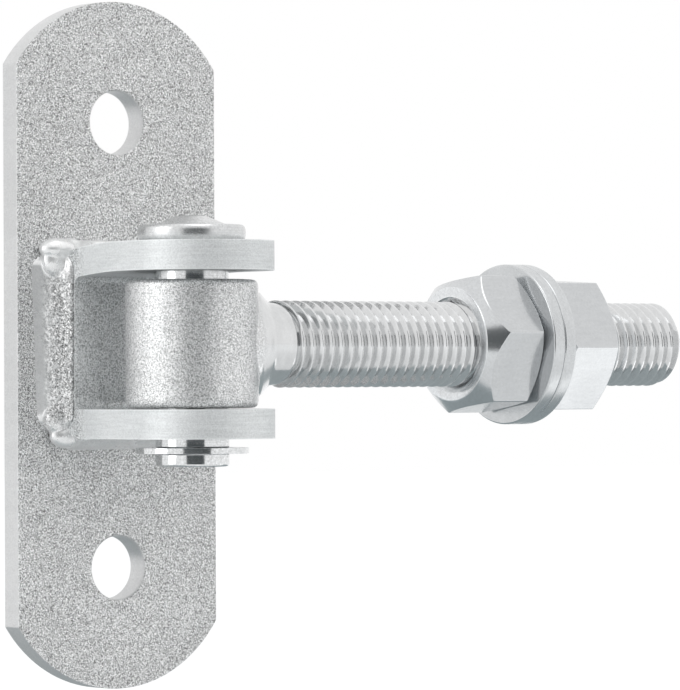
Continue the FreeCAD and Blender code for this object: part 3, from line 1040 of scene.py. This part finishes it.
def weld_middle(tree, coordinates):
    """A mask that is 1 on the rough middle of the side beads."""
    parts = add_node(tree, "ShaderNodeSeparateXYZ")
    tree.links.new(coordinates["Object"], parts.inputs[0])
    height = join(tree, "ADD", parts.outputs["Z"], -ROUGH_MIDDLE * MM)
    inwards = map_range(tree, join(tree, "ABSOLUTE", height, 0), ROUGH_FADE)
    beyond_toe = map_range(
        tree, parts.outputs["Y"], (WELD_TOE * MM, (WELD_TOE - WELD_TOE_FADE) * MM))
    return join(tree, "MULTIPLY", inwards, beyond_toe)


def facing_axis(axis):
    """A mask that is 1 where the skin faces along an axis and 0 where it turns aside."""
    def mask(tree, coordinates):
        parts = add_node(tree, "ShaderNodeSeparateXYZ")
        tree.links.new(coordinates["Normal"], parts.inputs[0])
        return map_range(tree, join(tree, "ABSOLUTE", parts.outputs[axis], 0), FACING_RANGE)
    return mask


print("masks ready")

# %% Write the recipe
EDGE_WIDTH = 0.5 * MM
EDGE_POLISH = 0.05


def zinc_finish(name, mask, tone, bright, dull, cloud_scale, grain_scale, grain_shade, grain_depth,
                stretch, line_shade, line_depth, rough, rough_spread, metallic, edge_wear_and_highlight):
    """Pairs hold a value for where the mask is 0 and one for where it is 1."""
    material, _, links = new_material(name)
    tree = material.node_tree
    coordinates = add_node(tree, "ShaderNodeTexCoord").outputs
    place = coordinates["Object"]
    masked = mask(tree, coordinates)

    def blend(pair):
        return map_range(tree, masked, low_and_high=pair)

    cloud = place_group(
        tree, clouds, place, Scale=cloud_scale, Bright=(*bright, 1), Dull=(*dull, 1))
    grain = place_group(tree, crystals, place, Scale=grain_scale)["Shade"]
    drawn = place_group(tree, lines, place)
    turned = add_node(tree, "ShaderNodeMix", data_type="VECTOR")
    turned.inputs[4].default_value, turned.inputs[5].default_value = stretch
    links.new(masked, turned.inputs["Factor"])
    links.new(turned.outputs[1], drawn["Shade"].node.inputs["Stretch"])
    line = drawn["Shade"]
    edge = place_group(tree, edges, Width=EDGE_WIDTH)["Edge"]
    grain_part = join(tree, "MULTIPLY", join(tree, "SUBTRACT", grain, 0.5), blend(grain_shade))
    line_part = join(tree, "MULTIPLY", join(tree, "SUBTRACT", line, 0.5), blend(line_shade))
    shade = join(tree, "ADD", join(tree, "ADD", grain_part, line_part), 1.0)
    # Edges are lightened in colour: partly worn zinc, partly a painted highlight.
    lit = join(tree, "ADD", shade, join(tree, "MULTIPLY", edge, edge_wear_and_highlight))
    tinted = add_node(tree, "ShaderNodeVectorMath", operation="SCALE")
    links.new(cloud["Colour"], tinted.inputs[0])
    # The tone scales the colour by the mask, and on several pieces it paints shade or light.
    links.new(join(tree, "MULTIPLY", lit, blend(tone)), tinted.inputs["Scale"])
    bumpy = join(tree, "ADD", join(tree, "MULTIPLY", grain, blend(grain_depth)),
                 join(tree, "MULTIPLY", line, line_depth))
    bump = add_node(tree, "ShaderNodeBump")
    bump.inputs["Distance"].default_value = MM
    links.new(bumpy, bump.inputs["Height"])
    dulled = join(tree, "MULTIPLY", join(tree, "SUBTRACT", cloud["Cloud"], 0.5), rough_spread)
    gloss = join(tree, "SUBTRACT", join(tree, "ADD", dulled, blend(rough)),
                 join(tree, "MULTIPLY", edge, EDGE_POLISH))
    metal = add_node(tree, "ShaderNodeBsdfPrincipled")
    metal.inputs["Metallic"].default_value = metallic
    links.new(tinted.outputs[0], metal.inputs["Base Color"])
    links.new(gloss, metal.inputs["Roughness"])
    links.new(bump.outputs[0], metal.inputs["Normal"])
    links.new(metal.outputs[0], add_node(tree, "ShaderNodeOutputMaterial").inputs["Surface"])
    return material


print("recipe ready")

# %% Mix the finishes
def give(material, *pieces):
    for piece in pieces:
        piece.data.materials.clear()
        piece.data.materials.append(material)
    print(material.name, "on", [piece.name for piece in pieces])


give(zinc_finish(
    "rolled_plate_zinc", facing_axis("Y"), tone=(0.97, 0.95),
    bright=(0.71, 0.713, 0.715), dull=(0.66, 0.663, 0.665), cloud_scale=45,
    grain_scale=5500, grain_shade=(0.6, 6.0), grain_depth=(0.015, 0.06),
    stretch=[(90, 90, 700)] * 2, line_shade=(0.15, 0.15), line_depth=0.01,
    rough=(0.36, 0.42), rough_spread=0.10, metallic=0.5, edge_wear_and_highlight=0.15,
), plate)
# The tone paints the web, set back between the ears, slightly darker: painted shade.
give(zinc_finish(
    "bent_bar_zinc", along_axis("Y", -15, -12), tone=(1.0, 0.98),
    bright=(0.785, 0.802, 0.806), dull=(0.727, 0.747, 0.751), cloud_scale=60,
    grain_scale=4200, grain_shade=(0.6, 3.4), grain_depth=(0.012, 0.03),
    stretch=[(120, 120, 2600), (5200, 200, 160)], line_shade=(0.3, 0.7), line_depth=0.03,
    rough=(0.54, 0.34), rough_spread=0.10, metallic=0.6, edge_wear_and_highlight=0.3,
), clevis)
# Painted light: the tone makes the beads' smooth parts lighter; their rough middles are darker
# grit.
give(zinc_finish(
    "weld_bead_zinc", weld_middle, tone=(1.1, 0.7),
    bright=(0.88, 0.885, 0.885), dull=(0.80, 0.81, 0.81), cloud_scale=160,
    grain_scale=4200, grain_shade=(0.5, 5.4), grain_depth=(0.01, 0.06),
    stretch=[(500, 500, 500)] * 2, line_shade=(0.2, 0.2), line_depth=0.01,
    rough=(0.30, 0.36), rough_spread=0.12, metallic=0.55, edge_wear_and_highlight=0.1,
), left_bead, right_bead, top_bead, bottom_bead)
# The tone paints the pin's head, which faces the lamp above, darker: painted shade.
give(zinc_finish(
    "turned_pin_zinc", along_axis("Z", 14, 20), tone=(1.0, 0.9),
    bright=(0.78, 0.787, 0.79), dull=(0.72, 0.73, 0.735), cloud_scale=80,
    grain_scale=2600, grain_shade=(0.8, 0.6), grain_depth=(0.004, 0.01),
    stretch=[(60, 60, 3600)] * 2, line_shade=(0.25, 0.25), line_depth=0.008,
    rough=(0.13, 0.28), rough_spread=0.08, metallic=0.92, edge_wear_and_highlight=0.1,
), pin, ring)
give(zinc_finish(
    "forged_eye_zinc", along_axis("X", 7, 12), tone=(0.92, 0.94),
    bright=(0.79, 0.795, 0.80), dull=(0.73, 0.737, 0.74), cloud_scale=70,
    grain_scale=5500, grain_shade=(4.0, 0.2), grain_depth=(0.035, 0.0),
    stretch=[(700, 700, 160)] * 2, line_shade=(0.2, 0.2), line_depth=0.006,
    rough=(0.42, 0.12), rough_spread=0.08, metallic=0.85, edge_wear_and_highlight=0.15,
), eye)
# The tone paints the nuts' flats darker and their faces and chamfers lighter: painted shade and
# light.
give(zinc_finish(
    "pressed_nut_zinc", facing_axis("X"), tone=(0.8, 1.05),
    bright=(0.77, 0.785, 0.797), dull=(0.72, 0.735, 0.747), cloud_scale=70,
    grain_scale=2400, grain_shade=(0.2, 0.4), grain_depth=(0.003, 0.006),
    stretch=[(240, 1500, 1500)] * 2, line_shade=(0.12, 0.12), line_depth=0.004,
    rough=(0.17, 0.26), rough_spread=0.06, metallic=0.92, edge_wear_and_highlight=0.3,
), inner_nut, outer_nut)
# The tone paints the washers' faces a little darker than their rims: painted shade.
give(zinc_finish(
    "punched_washer_zinc", facing_axis("X"), tone=(0.91, 0.88),
    bright=(0.72, 0.735, 0.745), dull=(0.66, 0.675, 0.685), cloud_scale=70,
    grain_scale=2400, grain_shade=(0.3, 0.3), grain_depth=(0.006, 0.006),
    stretch=[(1400, 260, 260)] * 2, line_shade=(0.15, 0.15), line_depth=0.006,
    rough=(0.26, 0.2), rough_spread=0.08, metallic=0.9, edge_wear_and_highlight=0.2,
), inner_washer, outer_washer)
